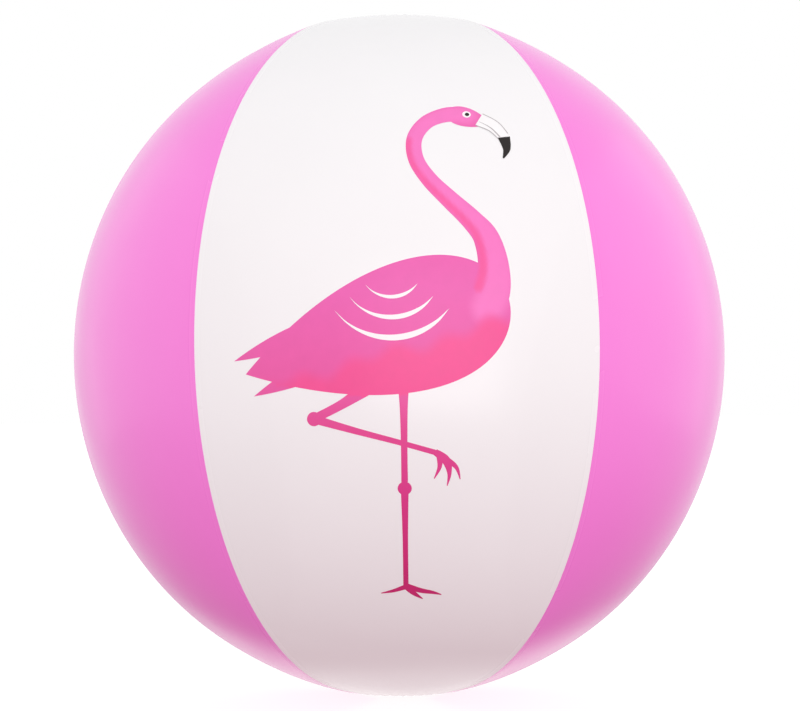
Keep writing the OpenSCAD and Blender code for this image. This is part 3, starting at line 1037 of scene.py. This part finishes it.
def bar(start, end, half, low, high, edge, fillets=(0, 0)):
    """A flat bar along X, with the fillets of its corners at the start and at the end."""
    corners = [(start, -half, fillets[0]), (end, -half, fillets[1]),
               (end, half, fillets[1]), (start, half, fillets[0])]
    return prism(rounded(corners), low, high, edge)


def joined(*meshes):
    """One mesh from several."""
    form = bmesh.new()
    for mesh in meshes:
        form.from_mesh(mesh)
    return mesh_of(form)


def profile(*corners):
    """A turned outline. Corners in millimetres: radius, height over the stem's mouth, fillet."""
    return rounded([(r * MM, mouth_z + up * MM, fillet * MM) for r, up, fillet in corners])


RIM_R = 8.5 * MM
foot = (stem_z - mouth_z) / MM
tube = profile(
    (4, foot, 0.15), (5.6, foot, 0.3), (5.6, -2.6, 0.4), (6.5, -1.4, 0.4), (8.5, -1.4, 0.5),
    (8.5, 0, 0.5), (7, 0, 0.15), (6.8, -0.15, 0.1), (5.1, -0.15, 0.1), (4.9, 0, 0.1),
    (4.2, 0, 0.15), (4.2, -6, 0), (4, -6.4, 0))
tab = bar(RIM_R - 1 * MM, tab_end, 2.5 * MM, rim_z, mouth_z, 0.3 * MM, (0, 1.5 * MM))
piece(joined(turned(tube), tab), "stem", valve_pvc, "stem", "valve_stem")
print("stem", round(-foot, 1), "mm long")

# %% [markdown]
# The strap is thinned in the middle so that it folds there and not at the plug. Its root sits on the
# stem's tab and its other end is part of the plug, so it must bend when the plug swings open.

# %% Plug and strap
tip, top = (plug_low.z - mouth_z) / MM, (plug_high.z - mouth_z) / MM
stopper = profile(
    (0, tip + 3.5, 0), (1.5, tip + 3.5, 0.4), (1.9, tip, 0.25), (2.9, tip, 0.3), (4.15, 0, 0),
    (4.15, 0.1, 0), (6.3, 0.1, 0.4), (6.3, top, 0.6), (4.6, top, 0.3), (4.2, top - 0.35, 0.3),
    (0, top - 0.15, 0))
LIP_END = plug_low.x
lip_z = mouth_z + 0.4 * MM
lip = bar(LIP_END, -5.7 * MM, 2.4 * MM, lip_z, lip_z + 0.8 * MM, 0.25 * MM, (2.2 * MM, 0))
grips = []
for k in range(3):
    x = LIP_END + (1.4 + 1.2 * k) * MM
    grips.append(bar(x, x + 0.5 * MM, 1.5 * MM, lip_z + 0.6 * MM, lip_z + 1.0 * MM, 0.12 * MM,
                     (0.2 * MM, 0.2 * MM)))
piece(joined(turned(stopper), lip, *grips), "plug_body", valve_pvc, "stopper",
      "plug")

STRAP = 0.8 * MM
strap_low = mouth_z + 0.3 * MM
hinge_x = 14 * MM
SLICE = 0.2
strap_edge = smooth([(5.6, 2.3), (7.5, 2.4), (10.4, 1.9), (12.6, 2.3), (tab_end / MM, 2.3)])


def strip(edge, low, high, soften):
    """A strap with a soft-cornered section, sliced finely along X so that it can bend."""
    form = bmesh.new()
    rings = []
    for a, b in zip(edge, edge[1:]):
        slices = math.ceil((b.x - a.x) / SLICE)
        for k in range(slices + (b is edge[-1])):
            here = (a + (b - a) * k / slices) * MM
            section = rounded([(-here.y, low, soften), (here.y, low, soften),
                               (here.y, high, soften), (-here.y, high, soften)])
            rings.append([form.verts.new((here.x, p.x, p.y)) for p in section])
    for a, b in zip(rings, rings[1:]):
        for i in range(len(a)):
            form.faces.new((a[i - 1], a[i], b[i], b[i - 1]))
    form.faces.new(rings[0])
    form.faces.new(rings[-1][::-1])
    bmesh.ops.recalc_face_normals(form, faces=form.faces)
    return mesh_of(form)


band = strip(strap_edge, strap_low, strap_low + STRAP, 0.2 * MM)
root_start = hinge_x + 0.4 * MM
root = bar(root_start, tab_end - 0.2 * MM, 2.2 * MM, mouth_z - 0.1 * MM, strap_low + 0.3 * MM,
           0.05 * MM, (0.3 * MM, 0.3 * MM))
strap = piece(joined(band, root), "strap", valve_pvc, None, "plug_strap")
print("strap reaches", round(tab_end / MM, 2), "mm from the axis")

# %% Check flap
flap_low, flap_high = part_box("check_flap")
FLAP_R = -flap_low.x
flap_cut = math.acos(4.6 * MM / FLAP_R)
angles = [flap_cut + (2 * math.pi - 2 * flap_cut) * k / 40 for k in range(41)]
flap = prism([Vector((FLAP_R * math.cos(a), FLAP_R * math.sin(a))) for a in angles],
             flap_low.z, flap_high.z, 0.2 * MM)
piece(flap, "flap", valve_pvc, "flap", "check_flap")
print("flap", round(2 * FLAP_R / MM, 1), "mm across")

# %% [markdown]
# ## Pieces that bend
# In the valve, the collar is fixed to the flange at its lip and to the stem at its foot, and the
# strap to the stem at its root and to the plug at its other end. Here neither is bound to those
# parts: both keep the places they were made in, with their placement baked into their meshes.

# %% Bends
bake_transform(collar)
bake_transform(strap)

# %% [markdown]
# ## Stage
# White goods are shown in a light tent, on a pale floor that runs out of sight. The tent is
# the world: white all round, a little darker overhead, and darker and rosy below, where a real tent
# gets only what the ball itself sends down. One patch low behind the ball is bright, as lit floor
# would be, and gives the ball's lower rim its edge of light. A soft box near the camera and one on
# each side put broad, quiet highlights on the film. The floor is a sheet of opal acrylic lit from
# below, so it stays near white and takes only a faint shadow. It shows in the render, but neither
# lights the ball nor shows in its gloss, because the world's lower part already stands for it.

# %% Floor
scene = bpy.context.scene
scene.view_settings.view_transform = "Standard"
FLOOR_HALF = 40
FLOOR_Z = -0.5 * MM

opal, opal_tree, opal_shader, opal_where = new_material("opal acrylic, lit from below")
haze = add(opal_tree, "ShaderNodeTexNoise", {"Vector": opal_where, "Scale": 1 / 0.3})
opal_colour = add(opal_tree, "ShaderNodeMix", {
    0: haze, 6: linear("#8E8C8D"), 7: linear("#929091")}, data_type="RGBA")
fill(opal_shader, {
    "Base Color": opal_colour.outputs[2], "Roughness": 0.95, "Specular IOR Level": 0.1,
    "Emission Color": (1, 1, 1, 1), "Emission Strength": 0.85})
floor_mesh = bpy.data.meshes.new("floor")
floor_corners = [(x * FLOOR_HALF, y * FLOOR_HALF, FLOOR_Z)
                 for x, y in ((-1, -1), (1, -1), (1, 1), (-1, 1))]
floor_mesh.from_pydata(floor_corners, [], [(0, 1, 2, 3)])
floor_mesh.materials.append(opal)
floor = bpy.data.objects.new("floor", floor_mesh)
scene.collection.objects.link(floor)
floor.visible_diffuse = False
floor.visible_glossy = False
print("floor", 2 * FLOOR_HALF, "m across")

# %% Light tent
ROSY, WHITE, DIM = (0.50, 0.30, 0.35, 1), (1, 1, 1, 1), (0.82, 0.82, 0.83, 1)
LEVELS = [(-1, ROSY), (-0.75, ROSY), (-0.02, WHITE), (0.3, WHITE), (1, DIM)]
LIT_FLOOR = (0, 0.8, -0.6)

world = bpy.data.worlds.new("light tent")
scene.world = world
world.use_nodes = True
tent = world.node_tree
direction = add(tent, "ShaderNodeTexCoord").outputs["Generated"]
level = add(tent, "ShaderNodeSeparateXYZ", [direction]).outputs["Z"]
place = add(tent, "ShaderNodeMapRange", [level, -1])
tone = add(tent, "ShaderNodeValToRGB", [place])
tone.color_ramp.interpolation = "EASE"
colour_stops(tone, [((height + 1) / 2, colour) for height, colour in LEVELS])
facing = add(tent, "ShaderNodeVectorMath", [direction, LIT_FLOOR], operation="DOT_PRODUCT")
patch = add(tent, "ShaderNodeMapRange", [facing.outputs["Value"], 0.88, 0.985],
            interpolation_type="SMOOTHSTEP")
lit = add(tent, "ShaderNodeMix", {0: patch, 6: tone, 7: (1.4, 1.35, 1.35, 1)}, data_type="RGBA")
fill(tent.nodes["Background"], {"Color": lit.outputs[2]})


def soft_box(name, azimuth, elevation, away, size, watts):
    """A square area light aimed at the ball's middle. Azimuth 0 is at the camera, 90 at +X."""
    data = bpy.data.lights.new(name, "AREA")
    data.size = size
    data.energy = watts
    box = bpy.data.objects.new(name, data)
    a, e = math.radians(azimuth), math.radians(elevation)
    box.location = middle + away * Vector((
        math.sin(a) * math.cos(e), -math.cos(a) * math.cos(e), math.sin(e)))
    box.rotation_mode = "QUATERNION"
    box.rotation_quaternion = (middle - box.location).to_track_quat("-Z", "Y")
    scene.collection.objects.link(box)
    print(name, "at", [round(v, 2) for v in box.location])


soft_box("key", 12, 2, 3.2, 2.4, 26)
soft_box("right", 100, 14, 3.0, 3.0, 8)
soft_box("left", -100, 14, 3.0, 3.0, 6)
